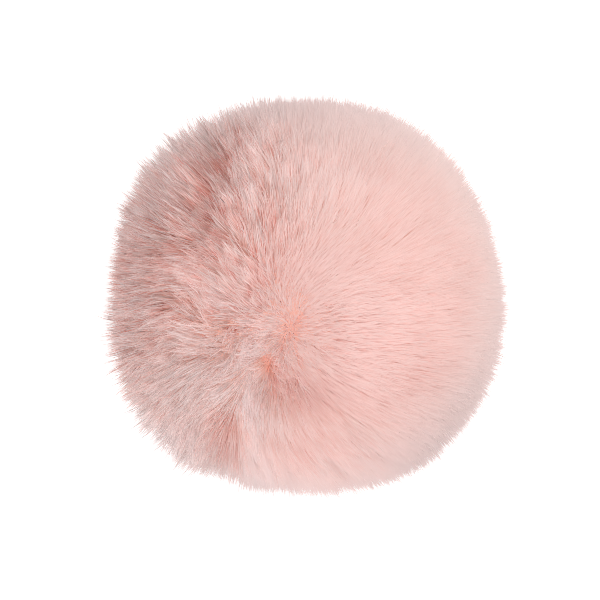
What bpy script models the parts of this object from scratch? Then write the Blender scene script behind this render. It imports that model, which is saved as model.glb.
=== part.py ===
"""Faux fur pom pom, resting on a small flat spot.

One solid: the outer form of the fluffed fur, as far as the hair tips reach.
It is a slightly squarish ball that sags a little under its own weight, with
the swellings, partings and the whorl that the brushed pile makes.
Units are metres, +Z is up, and the origin is the middle of the flat spot.
"""

import math
from collections import namedtuple

import bmesh
import bpy
from mathutils import Vector

# ---------------------------------------------------------------- sizes
RADIUS = 0.0504          # fluffed fur, centre to tips, before the swellings
UPPER_SAG = 0.965        # height of the upper half against its width
LOWER_SAG = 0.975        # height of the lower half against its width
REST_DROP = 0.0452       # from the ball's middle down to the flat spot
FOOT_BLEND = 0.0022      # how softly the fur turns in to the flat spot
SQUARENESS = 0.006       # share of the radius by which the outline is squarish
SQUARE_TURN = 41.0       # azimuth of one of the outline's four soft corners
ICO_LEVEL = 5            # 5,120 triangles

FUR_COLOUR = (0.88, 0.60, 0.55, 1.0)
FUR_ROUGHNESS = 0.75

# Swellings (+) and hollows (-) of the pile. Azimuth runs from +X towards +Y,
# elevation is up from the ball's middle; spread is the half-width in degrees.
Swelling = namedtuple("Swelling", "azimuth elevation spread height")
SWELLINGS = (
    Swelling(azimuth=134, elevation=6, spread=17, height=0.0014),
    Swelling(azimuth=212, elevation=4, spread=20, height=0.0011),
    Swelling(azimuth=236, elevation=2, spread=11, height=0.0009),
    Swelling(azimuth=304, elevation=3, spread=15, height=0.0003),
    Swelling(azimuth=336, elevation=8, spread=12, height=0.0003),
    Swelling(azimuth=70, elevation=16, spread=16, height=0.0003),
    Swelling(azimuth=112, elevation=54, spread=12, height=0.0014),
    Swelling(azimuth=20, elevation=56, spread=30, height=0.0009),
    Swelling(azimuth=196, elevation=47, spread=15, height=0.0009),
    Swelling(azimuth=262, elevation=42, spread=12, height=0.0011),
    Swelling(azimuth=22, elevation=0, spread=19, height=-0.0018),
    Swelling(azimuth=173, elevation=2, spread=10, height=-0.0012),
    Swelling(azimuth=261, elevation=0, spread=15, height=-0.0018),
    Swelling(azimuth=92, elevation=-3, spread=14, height=-0.0006),
    Swelling(azimuth=242, elevation=66, spread=7, height=-0.0024),
    Swelling(azimuth=60, elevation=-38, spread=20, height=0.0008),
    Swelling(azimuth=150, elevation=-42, spread=22, height=0.0008),
    Swelling(azimuth=250, elevation=-38, spread=20, height=0.0008),
    Swelling(azimuth=335, elevation=-42, spread=22, height=0.0008),
)

# Partings: soft troughs along the short arc between two directions.
Parting = namedtuple("Parting", "azimuth_a elevation_a azimuth_b elevation_b spread depth")
PARTINGS = (
    Parting(122, 26, 126, 45, 6.5, 0.0021),      # upper left, top of the parting
    Parting(126, 45, 160, 49, 7.0, 0.0017),      # and its turn down the left side
    Parting(160, 49, 196, 64, 6.0, 0.0009),      # fading towards the whorl
    Parting(243, 12, 242, 44, 6.0, 0.0018),      # lower left, below the whorl
    Parting(4, -30, 58, -8, 7.0, 0.0008),        # right side, low
    Parting(268, -34, 292, -12, 6.5, 0.0008),    # front, low
    Parting(96, -36, 120, -10, 6.5, 0.0009),     # back, low
)


def direction(azimuth, elevation):
    """Unit vector for an azimuth and elevation in degrees."""
    a, e = math.radians(azimuth), math.radians(elevation)
    return Vector((math.cos(e) * math.cos(a), math.cos(e) * math.sin(a), math.sin(e)))


def bell(angle, spread):
    """1 at the middle, falling away softly over the spread (both radians)."""
    return math.exp(-0.5 * (angle / spread) ** 2)


def angle_to_arc(d, a, b):
    """Angle between d and the nearest point of the short arc from a to b."""
    axis = a.cross(b)
    if axis.length > 1e-6:
        axis.normalize()
        foot = d - axis * d.dot(axis)
        if foot.length > 1e-6:
            foot.normalize()
            if a.cross(foot).dot(axis) >= 0 and foot.cross(b).dot(axis) >= 0:
                return d.angle(foot, 0.0)
    return min(d.angle(a, 0.0), d.angle(b, 0.0))


SWELLING_AT = [(direction(s.azimuth, s.elevation), math.radians(s.spread), s.height) for s in SWELLINGS]
PARTING_AT = [
    (direction(p.azimuth_a, p.elevation_a), direction(p.azimuth_b, p.elevation_b), math.radians(p.spread), p.depth)
    for p in PARTINGS
]


def fur_reach(d):
    """How far the hair tips reach from the ball's middle in direction d."""
    azimuth = math.atan2(d.y, d.x)
    level = 1.0 - d.z * d.z
    corners = math.cos(4.0 * (azimuth - math.radians(SQUARE_TURN)))
    reach = RADIUS * (1.0 + SQUARENESS * level * level * corners)
    for at, spread, height in SWELLING_AT:
        reach += height * bell(d.angle(at, 0.0), spread)
    # Crossing partings share one trough, so the deepest counts.
    troughs = [depth * bell(angle_to_arc(d, a, b), spread) for a, b, spread, depth in PARTING_AT]
    return reach - max(troughs)


def settled(z):
    """Height above the surface once the lowest fur is pressed flat on it."""
    above = z + REST_DROP
    if above >= FOOT_BLEND:
        return above
    # A quarter-turn of soft fur between the side and the flat spot.
    if above <= -FOOT_BLEND:
        return 0.0
    return (above + FOOT_BLEND) ** 2 / (4.0 * FOOT_BLEND)


def clear_scene():
    for obj in list(bpy.data.objects):
        bpy.data.objects.remove(obj, do_unlink=True)


def fur_material():
    material = bpy.data.materials.new("fur")
    material.use_nodes = True
    shader = material.node_tree.nodes["Principled BSDF"]
    shader.inputs["Base Color"].default_value = FUR_COLOUR
    shader.inputs["Roughness"].default_value = FUR_ROUGHNESS
    shader.inputs["Metallic"].default_value = 0.0
    material.diffuse_color = FUR_COLOUR
    return material


def make_fur_ball(collection):
    """The ball of fur, as one closed solid."""
    mesh = bpy.data.meshes.new("fur_ball")
    ball = bpy.data.objects.new("fur_ball", mesh)
    collection.objects.link(ball)

    bm = bmesh.new()
    bmesh.ops.create_icosphere(bm, subdivisions=ICO_LEVEL, radius=1.0)
    for vert in bm.verts:
        d = vert.co.normalized()
        point = d * fur_reach(d)
        point.z *= UPPER_SAG if point.z > 0.0 else LOWER_SAG
        point.z = settled(point.z)
        vert.co = point
    # The middle of the outline goes over the origin.
    xs = [v.co.x for v in bm.verts]
    ys = [v.co.y for v in bm.verts]
    middle = Vector(((min(xs) + max(xs)) / 2.0, (min(ys) + max(ys)) / 2.0, 0.0))
    bmesh.ops.translate(bm, vec=-middle, verts=bm.verts)
    bmesh.ops.recalc_face_normals(bm, faces=bm.faces)
    bm.to_mesh(mesh)
    bm.free()

    mesh.shade_smooth()
    mesh.materials.append(fur_material())
    return ball


def main():
    clear_scene()
    collection = bpy.data.collections.new("pom_pom")
    bpy.context.scene.collection.children.link(collection)
    make_fur_ball(collection)


main()
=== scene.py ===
"""Faux fur pom pom: a soft ball of dense underfur, and its long pile as strands of fine hair."""
import math
from collections import namedtuple

import bpy
import numpy as np
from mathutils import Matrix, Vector
from mathutils.bvhtree import BVHTree


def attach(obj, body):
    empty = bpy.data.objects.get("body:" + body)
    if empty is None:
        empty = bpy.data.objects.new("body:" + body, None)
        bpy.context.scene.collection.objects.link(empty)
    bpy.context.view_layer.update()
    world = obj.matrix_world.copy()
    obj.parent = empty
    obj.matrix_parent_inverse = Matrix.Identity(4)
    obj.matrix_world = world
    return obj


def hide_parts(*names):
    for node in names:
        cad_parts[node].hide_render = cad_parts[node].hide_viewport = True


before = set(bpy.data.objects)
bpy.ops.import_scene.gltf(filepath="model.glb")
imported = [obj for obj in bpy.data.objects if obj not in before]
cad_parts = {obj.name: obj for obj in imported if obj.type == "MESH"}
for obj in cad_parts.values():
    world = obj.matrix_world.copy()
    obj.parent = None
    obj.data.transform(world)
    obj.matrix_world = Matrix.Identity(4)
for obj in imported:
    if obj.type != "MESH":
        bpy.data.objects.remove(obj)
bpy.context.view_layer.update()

rng = np.random.default_rng(2410)

# ---------------------------------------------------------------- sizes (m)
MIDDLE = np.array((0.0, 0.0, 0.0455))   # the ball's middle
BALL = 0.0495            # its usual radius, for places given in plan
UNDER_SHARE = 0.80       # dense underfur, as a share of the reach of the pile
ROOT_SHARE = 0.77        # where the modelled part of a hair starts
STRANDS = 30000
HAIRS_IN_STRAND = 6
TUFTS = 4200
LOCKS = 520
HAIR_WIDTH = 0.00017
FACE_UP = 0.25           # how far the flat of a hair turns upwards
FACE_CHANCE = 0.12       # and how far any way
HAIR_AT = (0.0, 0.42, 0.78, 1.0)        # sections along a hair
BEND = 1.5               # how late along its length a hair leans over
FUR_PIECES = 5

# ------------------------------------------------------------ light, finish
SHOW_THROUGH = 0.8       # share of the light that one hair lets by
TRANSLUCENCY = 0.30
OUTWARD = 0.76           # how far a hair's shading follows the ball's
KEY_AT = (30, 15)
KEY_POWER = 3.05
TOP_POWER = 5.68
FILL_AT = (246, 22)
FILL_POWER = 1.46
WORLD_STRENGTH = 0.78
FLOOR_GLOW = 0.30         # the pale floor is lit from below as well
DENOISE = True
PREFILTER = "NONE"
FILTER_WIDTH = 0.9

ROOT_COLOUR = (0.94, 0.57, 0.46, 1)
MIDDLE_COLOUR = (0.95, 0.69, 0.61, 1)
TIP_COLOUR = (0.965, 0.777, 0.745, 1)
WHITE_COLOUR = (0.975, 0.853, 0.845, 1)
DEEP_TONE_AND_PAINTED_SHADE = (0.81, 0.43, 0.37, 1)       # multiplies the colour of low-toned hairs below their tips: their own deeper tone and painted shade deep in the pile

# ------------------------------------------------- how the pile is brushed
# Around each place (x, y in mm, seen from above) the tips point in this
# direction (degrees) and lie this flat: 0 is upright, 1 is level.
Stroke = namedtuple("Stroke", "x y points flat")
STROKES = (
    Stroke(x=-8, y=48, points=97, flat=1.0),
    Stroke(x=-21, y=38, points=118, flat=0.95),
    Stroke(x=-41, y=28, points=150, flat=1.0),
    Stroke(x=-28, y=26, points=128, flat=0.9),
    Stroke(x=-33, y=16, points=165, flat=0.85),
    Stroke(x=-13, y=13, points=120, flat=0.7),
    Stroke(x=-6, y=27, points=98, flat=0.85),
    Stroke(x=-21, y=5, points=145, flat=0.7),
    Stroke(x=-41, y=4, points=187, flat=0.92),
    Stroke(x=-18, y=-5, points=128, flat=0.5),
    Stroke(x=-31, y=-7, points=186, flat=0.75),
    Stroke(x=-43, y=-15, points=202, flat=0.95),
    Stroke(x=-27, y=-22, points=206, flat=0.78),
    Stroke(x=-33, y=-34, points=225, flat=0.95),
    Stroke(x=-24, y=-40, points=250, flat=0.95),
    Stroke(x=-11, y=-38, points=297, flat=0.9),
    Stroke(x=-16, y=-14, points=190, flat=0.55),
    Stroke(x=-16, y=-24, points=232, flat=0.65),
    Stroke(x=-14, y=-17, points=200, flat=0.42),
    Stroke(x=-9, y=-22, points=272, flat=0.46),
    Stroke(x=-5, y=-27, points=294, flat=0.62),
    Stroke(x=-6, y=-16, points=330, flat=0.30),
    Stroke(x=-1.5, y=-21, points=318, flat=0.55),
    Stroke(x=-4, y=-9, points=60, flat=0.12),
    Stroke(x=3, y=-12.5, points=338, flat=0.42),
    Stroke(x=16, y=-26, points=333, flat=0.85),
    Stroke(x=9, y=-41, points=304, flat=0.97),
    Stroke(x=10, y=-5, points=5, flat=0.6),
    Stroke(x=29, y=-20, points=346, flat=0.95),
    Stroke(x=24, y=-1, points=3, flat=0.9),
    Stroke(x=40, y=-28, points=322, flat=1.0),
    Stroke(x=37, y=8, points=14, flat=0.98),
    Stroke(x=27, y=22, points=38, flat=0.95),
    Stroke(x=17, y=9, points=32, flat=0.78),
    Stroke(x=3, y=11, points=50, flat=0.5),
    Stroke(x=9, y=20, points=62, flat=0.75),
    Stroke(x=7, y=33, points=72, flat=0.9),
    Stroke(x=17, y=42, points=66, flat=1.0),
    Stroke(x=40, y=26, points=35, flat=1.0),
)
STROKE_SPREAD = 11.0     # degrees
# Along each line (mm, seen from above) the pile parts (push over 0) or
# gathers (under 0) and stands lower or higher. Its tone is partly its own and
# partly painted light and shade: painted shade in partings, the hole and along
# the left edge, painted light on ridges and on patches of the rim.
Line = namedtuple("Line", "xa ya xb yb spread push lift tone")
LINES = (
    # painted shadow in the valley to the left of the ridge
    Line(xa=-23, ya=43, xb=-22, yb=36, spread=5.0, push=0.28, lift=-0.03, tone=-0.12),
    Line(xa=-22, ya=36, xb=-25, yb=27, spread=5.0, push=0.24, lift=-0.025, tone=-0.13),
    Line(xa=-25, ya=27, xb=-35, yb=14, spread=6.5, push=0.05, lift=-0.01, tone=-0.08),
    Line(xa=-13, ya=43, xb=-15, yb=33, spread=5.0, push=0.0, lift=0.004, tone=0.02),
    Line(xa=-15, ya=33, xb=-15.5, yb=24, spread=5.5, push=0.0, lift=0.004, tone=0.02),
    # a parting low on the left, with painted shade in it
    Line(xa=-18, ya=-21, xb=-20.5, yb=-33, spread=3.0, push=0.30, lift=-0.015, tone=-0.04),
    Line(xa=-21.5, ya=-33, xb=-21.5, yb=-46, spread=4.0, push=0.37, lift=-0.012, tone=-0.27),
    Line(xa=-21.5, ya=-41, xb=-20.5, yb=-46, spread=4.5, push=0.0, lift=0.0, tone=-0.16),
    Line(xa=-16, ya=-29, xb=-15, yb=-46, spread=4.0, push=0.0, lift=0.014, tone=0.24),
    Line(xa=-13.5, ya=-14, xb=-16.5, yb=-29, spread=4.2, push=-0.1, lift=0.012, tone=0.24),
    Line(xa=-20, ya=-17, xb=-28, yb=-26, spread=5.0, push=-0.1, lift=0.004, tone=0.12),
    # painted light on the lower left
    Line(xa=-26, ya=-20, xb=-38, yb=-28, spread=15.0, push=0.0, lift=0.0, tone=0.22),
    # painted shade along the left edge, the side away from the key light
    Line(xa=-47, ya=22, xb=-47, yb=-18, spread=9.0, push=0.0, lift=-0.010, tone=-0.36),
    Line(xa=-3, ya=49.4, xb=3, yb=49.4, spread=8.0, push=0.0, lift=-0.016, tone=0.0),
    # the hole, with painted shade in it
    Line(xa=-12.2, ya=-19.6, xb=-11.8, yb=-22.0, spread=2.5, push=0.55, lift=-0.085, tone=-0.28),
    Line(xa=-11, ya=-27.5, xb=2, yb=-26, spread=5.0, push=0.0, lift=0.012, tone=-0.13),
    Line(xa=-10.5, ya=-18.5, xb=1, yb=-9, spread=3.5, push=0.08, lift=0.0, tone=0.0),
    Line(xa=-5, ya=-10, xb=-3, yb=-7, spread=2.5, push=0.25, lift=-0.01, tone=-0.12),
    Line(xa=-5, ya=-11, xb=2, yb=0, spread=11.0, push=0.0, lift=0.0, tone=0.05),
    Line(xa=0, ya=28, xb=5, yb=40, spread=14.0, push=0.0, lift=0.0, tone=0.10),
    Line(xa=0, ya=-38, xb=10, yb=-38, spread=12.0, push=0.0, lift=0.0, tone=0.05),
    # painted light on patches of the rim
    Line(xa=-18, ya=46, xb=-36, yb=34, spread=12.0, push=0.0, lift=0.020, tone=0.27),
    Line(xa=-8, ya=48, xb=20, yb=44, spread=9.0, push=0.0, lift=0.0, tone=0.12),
    Line(xa=28, ya=-36, xb=42, yb=-22, spread=12.0, push=0.0, lift=0.0, tone=0.10),
    Line(xa=-37, ya=-33, xb=-24, yb=-43, spread=11.0, push=0.0, lift=0.018, tone=0.18),
)


# ------------------------------------------------------------------ helpers
def unit(v):
    return v / np.maximum(np.linalg.norm(v, axis=-1, keepdims=True), 1e-12)


def towards(azimuth, elevation):
    a, e = math.radians(azimuth), math.radians(elevation)
    return np.array((math.cos(e) * math.cos(a), math.cos(e) * math.sin(a), math.sin(e)))


def above(x, y):
    """Direction of the place on the ball's upper half at x, y (mm) in plan."""
    x, y = x * 0.001 / BALL, y * 0.001 / BALL
    level = math.hypot(x, y)
    if level > 0.999:
        x, y = x * 0.999 / level, y * 0.999 / level
    return np.array((x, y, math.sqrt(1.0 - x * x - y * y)))


def tangent_part(v, d):
    return v - d * (v * d).sum(-1, keepdims=True)


def spread_points(n):
    """n directions, evenly over the ball."""
    i = np.arange(n) + 0.5
    z = 1.0 - 2.0 * i / n
    a = i * math.pi * (3.0 - math.sqrt(5.0))
    s = np.sqrt(1.0 - z * z)
    return np.stack((s * np.cos(a), s * np.sin(a), z), -1)


def nearest(d, places):
    """For each direction in d, which of the places is nearest."""
    out = np.empty(len(d), np.int64)
    for at in range(0, len(d), 4000):
        out[at:at + 4000] = np.argmax(d[at:at + 4000] @ places.T, axis=1)
    return out


def noise(p, size, seed):
    """Smooth value noise from -1 to 1 at points p (m), with features of about size (m)."""
    q = np.asarray(p) / size
    cell = np.floor(q).astype(np.int64)
    f = q - cell
    f = f * f * (3.0 - 2.0 * f)
    total = np.zeros(len(q))
    for dx in (0, 1):
        for dy in (0, 1):
            for dz in (0, 1):
                c = cell + (dx, dy, dz)
                h = (c[:, 0] * 73856093) ^ (c[:, 1] * 19349663) ^ (c[:, 2] * 83492791) ^ (seed * 2654435761)
                h = (h ^ (h >> 13)) * 1274126177 & 0xFFFFFFFF
                h = (h ^ (h >> 16)) & 0xFFFF
                w = (f[:, 0] if dx else 1 - f[:, 0]) * (f[:, 1] if dy else 1 - f[:, 1]) * (f[:, 2] if dz else 1 - f[:, 2])
                total += w * (h / 32767.5 - 1.0)
    return total


def noise_vector(p, size, seed):
    return np.stack([noise(p, size, seed + k) for k in (0, 1, 2)], -1)


def smooth_step(x, low, high):
    t = np.clip((x - low) / (high - low), 0.0, 1.0)
    return t * t * (3.0 - 2.0 * t)


# ------------------------------------------------------- reach of the fur
def reach_table(node, step=2):
    mesh = node.data
    tree = BVHTree.FromPolygons([v.co for v in mesh.vertices], [p.vertices[:] for p in mesh.polygons])
    table = np.zeros((180 // step + 1, 360 // step + 1))
    for i in range(table.shape[0]):
        for j in range(table.shape[1]):
            table[i, j] = tree.ray_cast(Vector(MIDDLE), Vector(towards(j * step, i * step - 90)))[3]
    return table


REACH_STEP = 2
REACH = reach_table(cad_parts["fur_ball"], REACH_STEP)


def reach(d):
    """Distance from the ball's middle to the CAD surface in directions d."""
    az = np.degrees(np.arctan2(d[:, 1], d[:, 0])) % 360.0 / REACH_STEP
    el = (np.degrees(np.arcsin(np.clip(d[:, 2], -1, 1))) + 90.0) / REACH_STEP
    j, i = np.minimum(az.astype(int), REACH.shape[1] - 2), np.minimum(el.astype(int), REACH.shape[0] - 2)
    u, v = az - j, el - i
    return ((1 - v) * ((1 - u) * REACH[i, j] + u * REACH[i, j + 1])
            + v * ((1 - u) * REACH[i + 1, j] + u * REACH[i + 1, j + 1]))


# ------------------------------------------------------------- pile fields
def brushed(d):
    """Lean of the pile at directions d, as a tangent vector."""
    total, weight = np.zeros_like(d), np.full(len(d), 0.02)
    for s in STROKES:
        at = above(s.x, s.y)
        way = math.radians(s.points)
        aim = np.array((s.flat * math.cos(way) - at[0], s.flat * math.sin(way) - at[1], 0.0))
        w = np.exp(-0.5 * (np.arccos(np.clip(d @ at, -1, 1)) / math.radians(STROKE_SPREAD)) ** 2)
        total += w[:, None] * tangent_part(aim[None, :], d)
        weight += w
    lean = total / weight[:, None]
    # Further down the sides the pile hangs a little.
    down = smooth_step(-d[:, 2], -0.25, 0.35) * 0.30
    return lean + down[:, None] * tangent_part(np.array([[0.0, 0.0, -1.0]]), d)


def lines_at(d):
    """Sideways push, lift and tone of the partings and ridges at directions d."""
    push, lift, tone = np.zeros_like(d), np.zeros(len(d)), np.zeros(len(d))
    for l in LINES:
        a, b = above(l.xa, l.ya), above(l.xb, l.yb)
        axis = unit(np.cross(a, b))
        end = math.radians(l.spread)
        across = np.arcsin(np.clip(d @ axis, -1, 1)) / end
        before, after = d @ np.cross(axis, a), d @ np.cross(b, axis)
        inside = np.exp(-0.5 * (np.minimum(np.minimum(before, after), 0.0) / end) ** 2) * (d @ unit(a + b) > 0)
        near = np.exp(-0.5 * across ** 2) * inside
        push += (l.push * np.tanh(across / 0.7) * near)[:, None] * tangent_part(axis[None, :], d)
        lift += l.lift * near
        tone += l.tone * near
    return push, lift, tone


def ruffle(d):
    """0 where the pile lies smooth, 1 where it is ruffled into clumps."""
    left = smooth_step(d @ towards(174, 15), 0.16, 0.72)
    patches = 0.5 + 0.5 * noise(d * 0.05 + 1.0, 0.022, 91)
    low = smooth_step(-d[:, 2], 0.0, 0.7)
    middle = smooth_step(d @ above(4, -4), 0.925, 0.985)
    left *= 1.0 - 0.45 * np.exp(-0.5 * ((d - above(-28, -30)) ** 2).sum(-1) / 0.35 ** 2)
    edges = 0.22 * np.exp(-0.5 * ((d - above(0, -42)) ** 2).sum(-1) / 0.25 ** 2)
    edges += 0.12 * np.exp(-0.5 * ((d - above(-2, 32)) ** 2).sum(-1) / 0.25 ** 2)
    return np.clip((0.02 + 0.88 * left * (0.6 + 0.4 * patches)) * (1 - 0.8 * middle) + 0.35 * low * patches + edges, 0.0, 1.0)


# -------------------------------------------------------------------- hair
def grow():
    """All hairs: points (n, sections, 3), tones with painted light and shade in them (n,), how pale their lower
    part is as painted light in the depths (n,), tilt of their shading (n, 3), how smooth the pile is there (n,)
    and lock number (n,).
    """
    base = unit(spread_points(STRANDS) + rng.normal(0, 0.006, (STRANDS, 3)))
    tuft_at = unit(spread_points(TUFTS) + rng.normal(0, 0.012, (TUFTS, 3)))
    lock_at = unit(spread_points(LOCKS) + rng.normal(0, 0.035, (LOCKS, 3)))
    tuft, lock = nearest(base, tuft_at), nearest(base, lock_at)

    ruffled = ruffle(base)
    push, lift, line_tone_and_painted_light = lines_at(base)
    lean = brushed(base) + push
    # Wide waves, then locks, tufts and strands each stray a little from the brushing.
    lean += tangent_part(noise_vector(base * 0.05 + 3.0, 0.022, 11), base) * (0.08 + 0.20 * ruffled)[:, None]
    lean += tangent_part(rng.normal(0, 1, (LOCKS, 3))[lock], base) * (0.02 + 0.14 * ruffled)[:, None]
    lean += tangent_part(rng.normal(0, 1, (TUFTS, 3))[tuft], base) * (0.01 + 0.10 * ruffled)[:, None]
    lean += tangent_part(rng.normal(0, 1, (STRANDS, 3)), base) * (0.02 + 0.17 * ruffled)[:, None]
    shift = lean * (1 - ROOT_SHARE)
    tip_s = unit(base + shift)
    tuft_tip = unit(np.stack([np.bincount(tuft, tip_s[:, k], TUFTS) for k in range(3)], -1) + 1e-9)
    lock_tip = unit(np.stack([np.bincount(lock, tip_s[:, k], LOCKS) for k in range(3)], -1) + 1e-9)
    pull_t, pull_l = (0.02 + 0.33 * ruffled)[:, None], (0.01 + 0.17 * ruffled)[:, None]
    tip_s = unit(tip_s * (1 - pull_t - pull_l) + tuft_tip[tuft] * pull_t + lock_tip[lock] * pull_l)

    side_on = 1.0 - np.abs(base[:, 2])
    short = np.minimum(np.abs(rng.normal(0, 1, STRANDS)), 1.0 + 2.2 * ruffled)
    reach_s = (1.015 + lift + rng.normal(0, 1, LOCKS)[lock] * 0.006 * ruffled
               + rng.normal(0, 1, TUFTS)[tuft] * (0.002 + 0.006 * side_on + 0.010 * ruffled)
               - short * (0.006 + 0.012 * side_on + 0.044 * ruffled))
    # Each strand's tone: random, plus the lines' painted light and shade, painted light on the rim and painted
    # shade on shorter strands.
    strand_tone_and_painted_light = (0.5 - 0.05 * ruffled + line_tone_and_painted_light + noise(base * 0.05 + 7.0, 0.0060, 41) * (0.02 + 0.04 * ruffled)
              # painted light: the rim paler, except on the shaded left side
              + smooth_step(side_on, 0.3, 0.9) * smooth_step(-(base @ towards(160, 0)), -0.75, 0.1) * 0.24
              + rng.normal(0, 1, LOCKS)[lock] * (0.01 + 0.03 * ruffled)
              + rng.normal(0, 1, TUFTS)[tuft] * (0.005 + 0.06 * ruffled) + rng.normal(0, 1, STRANDS) * (0.01 + 0.28 * ruffled)
              # painted shade: shorter strands, down in the gaps between clumps, darker
              - (short - 0.8) * 0.14 * ruffled)
    # Painted rim light: the outermost hairs, round the ball's outline seen from above, are paler, less so at the
    # left edge.
    strand_tone_and_painted_light += (smooth_step(side_on, 0.70, 0.95) * np.maximum(0.0, 0.78 - strand_tone_and_painted_light) * (0.8 - 0.12 * ruffled)
               * (1.0 - 0.55 * np.exp(-0.5 * ((base - above(-49, 2)) ** 2).sum(-1) / 0.35 ** 2)))

    # Where the pile stands upright it is dense. There, on the smooth side and on the ruffled rim the lower parts
    # of the hairs are painted paler, as painted light in the depths of the pile, least so around the hole.
    pale = np.maximum(smooth_step(base @ above(1, -10), 0.80, 0.96) * 0.78,
                      (0.36 + 0.24 * smooth_step(side_on, 0.30, 0.75)) * (1 - ruffled)
                      + 0.30 * smooth_step(side_on, 0.55, 0.85) * ruffled)
    pale *= 1.0 - 0.8 * np.exp(-0.5 * ((base - above(-12, -20.8)) ** 2).sum(-1) / 0.038 ** 2)

    # the hairs of each strand
    n = STRANDS * HAIRS_IN_STRAND
    s = np.repeat(np.arange(STRANDS), HAIRS_IN_STRAND)
    r = ruffled[s]
    cell = math.sqrt(4.0 / STRANDS)
    q = np.sqrt(rng.random(n))
    side = unit(np.cross(base[s], rng.normal(0, 1, (n, 3))))
    root = unit(base[s] + side * (q * cell * (1.6 - 1.1 * r))[:, None])
    stray = tangent_part(rng.normal(0, 1, (n, 3)), root)
    free = unit(root + shift[s] + stray * (0.014 + 0.004 * r)[:, None])
    gather = np.clip(0.08 + 0.25 * side_on[s] + 0.75 * r + rng.normal(0, 0.14, n), 0.0, 0.93)[:, None]
    tip = unit(free * (1 - gather) + tip_s[s] * gather + stray * 0.004)
    length = (reach_s[s] - np.abs(rng.normal(0, 1, n)) * (0.018 + 0.010 * r)
              + np.minimum(rng.exponential(1.0, n), 3.2) * (0.006 + (0.011 + 0.008 * r) * side_on[s]))
    wild = rng.random(n) < 0.010
    tip = np.where(wild[:, None], unit(tip + stray * 0.03), tip)
    length = np.where(wild, 1.01 + rng.random(n) * 0.03, length)
    r0, r1 = ROOT_SHARE * reach(root), reach(tip) * length
    r1 = np.maximum(r1, r0 * 1.06)

    at = np.array(HAIR_AT)
    bend = at ** BEND
    way = unit(root[:, None, :] * (1 - bend)[None, :, None] + tip[:, None, :] * bend[None, :, None])
    far = r0[:, None] + (r1 - r0)[:, None] * at[None, :]
    points = MIDDLE + way * far[:, :, None]
    # a slight wave, partly shared by a strand's hairs
    wave = tangent_part(rng.normal(0, 1, (STRANDS, 3)), base)[s] * 0.6 + stray * 0.8
    points += wave[:, None, :] * (np.sin(at * math.pi) * 0.00035)[None, :, None]
    tone = strand_tone_and_painted_light[s] + rng.normal(0, 1, n) * (0.02 + 0.14 * r)
    # Some single hairs are paler and stand a little higher.
    guard = rng.random(n) < 0.12 * r
    tone = np.where(guard, np.maximum(tone, 0.84), tone)
    points = MIDDLE + (points - MIDDLE) * (1.0 + 0.012 * np.where(guard, 1.0, 0.0)[:, None] * at[None, :] ** 2)[:, :, None]
    points[:, :, 2] = np.maximum(points[:, :, 2], 0.0003 + 0.0004 * rng.random(n)[:, None])
    # A strand is lit as the round thing it is, and tufts turn a little each way.
    tilt = side * (q * (0.03 + 0.70 * r))[:, None]
    tilt += (tangent_part(rng.normal(0, 1, (TUFTS, 3))[tuft], base) * (0.22 * ruffled)[:, None])[s]
    return points, np.clip(tone, 0.02, 0.98), pale[s], tilt, 1 - r, lock[s]


def fur_mesh(name, points, tone, pale, tilt, calm):
    """Flat hairs that taper to a point, as one mesh."""
    n, k = points.shape[:2]
    along = unit(np.gradient(points, axis=1))
    out = unit(points - MIDDLE)
    turn = (FACE_UP * (0.1 + 0.9 * calm))[:, None, None] * np.array([0.0, 0.0, 1.0])
    turn = turn + (FACE_CHANCE * (2.4 - 1.4 * calm))[:, None, None] * rng.normal(0, 1, (n, 1, 3))
    face = unit(tangent_part(out, along) + tangent_part(turn, along))
    wide = np.cross(along, face)
    width = HAIR_WIDTH * (0.75 + 0.5 * rng.random(n))[:, None] * np.array([1.0, 1.0, 0.75, 0.0])[None, :]
    left = points - wide * width[:, :, None] * 0.5
    right = points + wide * width[:, :, None] * 0.5
    m = 2 * k - 1
    verts, normals, uv = np.empty((n, m, 3)), np.empty((n, m, 3)), np.empty((n, m, 2))
    verts[:, 0:m - 1:2], verts[:, 1:m - 1:2], verts[:, -1] = left[:, :-1], right[:, :-1], points[:, -1]
    normal = unit(OUTWARD * out + (1 - OUTWARD) * face + tilt[:, None, :])
    normals[:, 0:m - 1:2], normals[:, 1:m - 1:2], normals[:, -1] = normal[:, :-1], normal[:, :-1], normal[:, -1]
    at = np.array(HAIR_AT)
    uv[:, 0:m - 1:2, 0], uv[:, 1:m - 1:2, 0], uv[:, -1, 0] = tone[:, None] - 0.004, tone[:, None] + 0.004, tone
    at = at[None, :] + pale[:, None] * (1 - at)[None, :]
    uv[:, 0:m - 1:2, 1], uv[:, 1:m - 1:2, 1], uv[:, -1, 1] = at[:, :-1], at[:, :-1], at[:, -1]
    uv = np.clip(uv, 0.001, 0.999)

    loops, sizes = [], []
    for i in range(k - 2):
        loops += [2 * i, 2 * i + 1, 2 * i + 3, 2 * i + 2]
        sizes.append(4)
    loops += [m - 3, m - 2, m - 1]
    sizes.append(3)
    loop_all = (np.arange(n)[:, None] * m + np.array(loops)[None, :]).ravel()
    size_all = np.tile(np.array(sizes), n)
    start_all = np.concatenate(([0], np.cumsum(size_all)[:-1]))

    mesh = bpy.data.meshes.new(name)
    mesh.vertices.add(n * m)
    mesh.loops.add(len(loop_all))
    mesh.polygons.add(len(size_all))
    mesh.vertices.foreach_set("co", verts.ravel().astype(np.float32))
    mesh.loops.foreach_set("vertex_index", loop_all.astype(np.int32))
    mesh.polygons.foreach_set("loop_start", start_all.astype(np.int32))
    layer = mesh.uv_layers.new(name="OFBake")
    layer.data.foreach_set("uv", uv.reshape(-1, 2)[loop_all].ravel().astype(np.float32))
    mesh.update(calc_edges=True)
    mesh.polygons.foreach_set("use_smooth", np.ones(len(size_all), bool))
    mesh.normals_split_custom_set_from_vertices(normals.reshape(-1, 3).astype(np.float32))
    piece = bpy.data.objects.new(name, mesh)
    bpy.context.scene.collection.objects.link(piece)
    return piece


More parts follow.
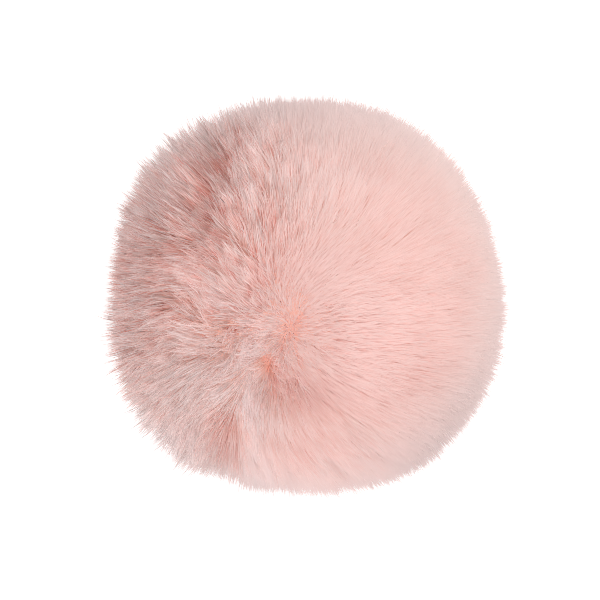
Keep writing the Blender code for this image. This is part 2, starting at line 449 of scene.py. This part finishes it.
# --------------------------------------------------------------- materials
def fur_material():
    material = bpy.data.materials.new("fur_pile")
    material.use_nodes = True
    nodes, links = material.node_tree.nodes, material.node_tree.links
    shader = nodes["Principled BSDF"]
    uv = nodes.new("ShaderNodeUVMap")
    uv.uv_map = "OFBake"
    split = nodes.new("ShaderNodeSeparateXYZ")
    links.new(uv.outputs["UV"], split.inputs["Vector"])
    along = nodes.new("ShaderNodeValToRGB")
    ramp = along.color_ramp
    ramp.interpolation = "EASE"
    ramp.elements[0].position, ramp.elements[0].color = 0.05, ROOT_COLOUR
    ramp.elements[1].position, ramp.elements[1].color = 0.85, TIP_COLOUR
    ramp.elements.new(0.45).color = MIDDLE_COLOUR
    links.new(split.outputs["Y"], along.inputs["Fac"])
    # darker hairs at low tone: their own deeper tone, and painted shade deep in the pile
    deep_tone_and_painted_shade = nodes.new("ShaderNodeValToRGB")
    deep_tone_and_painted_shade.color_ramp.elements[0].position, deep_tone_and_painted_shade.color_ramp.elements[0].color = 0.0, DEEP_TONE_AND_PAINTED_SHADE
    deep_tone_and_painted_shade.color_ramp.elements[1].position, deep_tone_and_painted_shade.color_ramp.elements[1].color = 0.6, (1.0, 1.0, 1.0, 1)
    links.new(split.outputs["X"], deep_tone_and_painted_shade.inputs["Fac"])
    mix = nodes.new("ShaderNodeMix")
    mix.data_type, mix.blend_type = "RGBA", "MULTIPLY"
    # and least so at their tips, so the painted shade lies deep in the pile
    fade = nodes.new("ShaderNodeMapRange")
    fade.inputs["From Min"].default_value, fade.inputs["From Max"].default_value = 0.88, 1.0
    fade.inputs["To Min"].default_value, fade.inputs["To Max"].default_value = 1.0, 0.30
    links.new(split.outputs["Y"], fade.inputs["Value"])
    links.new(fade.outputs["Result"], mix.inputs[0])
    links.new(along.outputs["Color"], mix.inputs[6])
    links.new(deep_tone_and_painted_shade.outputs["Color"], mix.inputs[7])
    # pale hairs at high tone, which also carries the painted light of ridges and rim
    pale = nodes.new("ShaderNodeMapRange")
    pale.inputs["From Min"].default_value, pale.inputs["From Max"].default_value = 0.55, 0.95
    pale.inputs["To Max"].default_value = 0.8
    links.new(split.outputs["X"], pale.inputs["Value"])
    white = nodes.new("ShaderNodeMix")
    white.data_type = "RGBA"
    links.new(pale.outputs["Result"], white.inputs[0])
    links.new(mix.outputs[2], white.inputs[6])
    white.inputs[7].default_value = WHITE_COLOUR
    links.new(white.outputs[2], shader.inputs["Base Color"])
    shader.inputs["Roughness"].default_value = 0.6
    shader.inputs["Specular IOR Level"].default_value = 0.3
    glow = nodes.new("ShaderNodeBsdfTranslucent")
    links.new(white.outputs[2], glow.inputs["Color"])
    # A hair is lit alike whichever side of its flat strip shows.
    side = nodes.new("ShaderNodeNewGeometry")
    share = nodes.new("ShaderNodeMapRange")
    share.inputs["To Min"].default_value, share.inputs["To Max"].default_value = TRANSLUCENCY, 1.0 - TRANSLUCENCY
    links.new(side.outputs["Backfacing"], share.inputs["Value"])
    hair = nodes.new("ShaderNodeMixShader")
    links.new(share.outputs["Result"], hair.inputs[0])
    links.new(shader.outputs[0], hair.inputs[1])
    links.new(glow.outputs[0], hair.inputs[2])
    # Fine hair shades its neighbours only in part.
    clear = nodes.new("ShaderNodeBsdfTransparent")
    shade = nodes.new("ShaderNodeMixShader")
    shade.inputs[0].default_value = SHOW_THROUGH
    links.new(hair.outputs[0], shade.inputs[1])
    links.new(clear.outputs[0], shade.inputs[2])
    path = nodes.new("ShaderNodeLightPath")
    both = nodes.new("ShaderNodeMixShader")
    links.new(path.outputs["Is Shadow Ray"], both.inputs[0])
    links.new(hair.outputs[0], both.inputs[1])
    links.new(shade.outputs[0], both.inputs[2])
    links.new(both.outputs[0], nodes["Material Output"].inputs["Surface"])
    return material


def underfur_material():
    material = bpy.data.materials.new("fur_ground")
    material.use_nodes = True
    nodes, links = material.node_tree.nodes, material.node_tree.links
    shader = nodes["Principled BSDF"]
    fine = nodes.new("ShaderNodeTexNoise")
    fine.inputs["Scale"].default_value = 1500.0
    fine.inputs["Detail"].default_value = 3.0
    ramp = nodes.new("ShaderNodeValToRGB")
    ramp.color_ramp.elements[0].position, ramp.color_ramp.elements[0].color = 0.35, (0.92, 0.56, 0.46, 1)
    ramp.color_ramp.elements[1].position, ramp.color_ramp.elements[1].color = 0.68, (0.97, 0.72, 0.64, 1)
    links.new(fine.outputs["Fac"], ramp.inputs["Fac"])
    links.new(ramp.outputs["Color"], shader.inputs["Base Color"])
    shader.inputs["Roughness"].default_value = 0.9
    shader.inputs["Specular IOR Level"].default_value = 0.1
    return material


def make_underfur():
    """The dense short fur between the strands, as one uneven ball."""
    bpy.ops.mesh.primitive_ico_sphere_add(subdivisions=6, radius=1.0)
    ball = bpy.context.object
    ball.name = ball.data.name = "underfur"
    d = np.zeros(len(ball.data.vertices) * 3)
    ball.data.vertices.foreach_get("co", d)
    d = unit(d.reshape(-1, 3))
    rough = 0.0005 * noise(d * 0.05, 0.0045, 5) + 0.0006 * rng.normal(0, 1, len(d)).clip(-1.5, 1.5)
    far = reach(d) * (UNDER_SHARE + 1.3 * np.minimum(lines_at(d)[1], 0.0)) + rough
    p = MIDDLE + d * far[:, None]
    ball.data.vertices.foreach_set("co", p.ravel())
    ball.data.update()
    ball.data.shade_smooth()
    ball.data.materials.append(underfur_material())
    return ball


underfur = make_underfur()
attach(underfur, "root")
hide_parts("fur_ball")

points, tone, pale, tilt, calm, lock = grow()
pile = fur_material()
order = np.argsort(lock, kind="stable")
for i, part in enumerate(np.array_split(order, FUR_PIECES)):
    piece = fur_mesh(f"fur_pile_{i + 1}", points[part], tone[part], pale[part], tilt[part], calm[part])
    piece.data.materials.append(pile)
    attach(piece, "root")
    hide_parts("fur_ball")

# -------------------------------------------------------------------- stage
bpy.ops.mesh.primitive_plane_add(size=3.0, location=(0, 0, 0))
floor = bpy.context.object
floor.name = "floor"
white = bpy.data.materials.new("pale_floor")
white.use_nodes = True
white.node_tree.nodes["Principled BSDF"].inputs["Base Color"].default_value = (0.92, 0.92, 0.92, 1)
white.node_tree.nodes["Principled BSDF"].inputs["Roughness"].default_value = 0.9
white.node_tree.nodes["Principled BSDF"].inputs["Emission Color"].default_value = (1, 1, 1, 1)
white.node_tree.nodes["Principled BSDF"].inputs["Emission Strength"].default_value = FLOOR_GLOW
floor.data.materials.append(white)

world = bpy.data.worlds.new("studio")
bpy.context.scene.world = world
world.use_nodes = True
world.node_tree.nodes["Background"].inputs["Color"].default_value = (1.0, 0.97, 0.975, 1)
world.node_tree.nodes["Background"].inputs["Strength"].default_value = WORLD_STRENGTH


def area_light(name, azimuth, elevation, distance, size, power, colour):
    data = bpy.data.lights.new(name, "AREA")
    data.shape = "DISK"
    data.size = size
    data.energy = power
    data.color = colour
    lamp = bpy.data.objects.new(name, data)
    back = Vector(towards(azimuth, elevation))
    lamp.location = Vector(MIDDLE) + back * distance
    lamp.rotation_euler = back.to_track_quat("Z", "Y").to_euler()
    bpy.context.scene.collection.objects.link(lamp)
    return lamp


area_light("key", *KEY_AT, 0.9, 0.9, KEY_POWER, (0.99, 0.97, 0.93))
area_light("top", 0, 89, 1.2, 0.9, TOP_POWER, (1.0, 0.99, 0.98))
area_light("fill", *FILL_AT, 0.9, 0.8, FILL_POWER, (1.0, 0.97, 0.96))

camera_data = bpy.data.cameras.new("camera")
camera_data.lens = 135.0
camera_data.sensor_width = 36.0
camera = bpy.data.objects.new("camera", camera_data)
camera.location = (-0.0014, -0.0009, 0.0472 + 0.5655)
camera.rotation_euler = (0, 0, 0)
bpy.context.scene.collection.objects.link(camera)
bpy.context.scene.camera = camera
bpy.context.scene.view_settings.view_transform = "Standard"
bpy.context.scene.cycles.use_denoising = DENOISE
bpy.context.scene.cycles.denoising_prefilter = PREFILTER
bpy.context.scene.cycles.filter_width = FILTER_WIDTH
bpy.context.scene.cycles.diffuse_bounces = 8

bpy.context.view_layer.update()
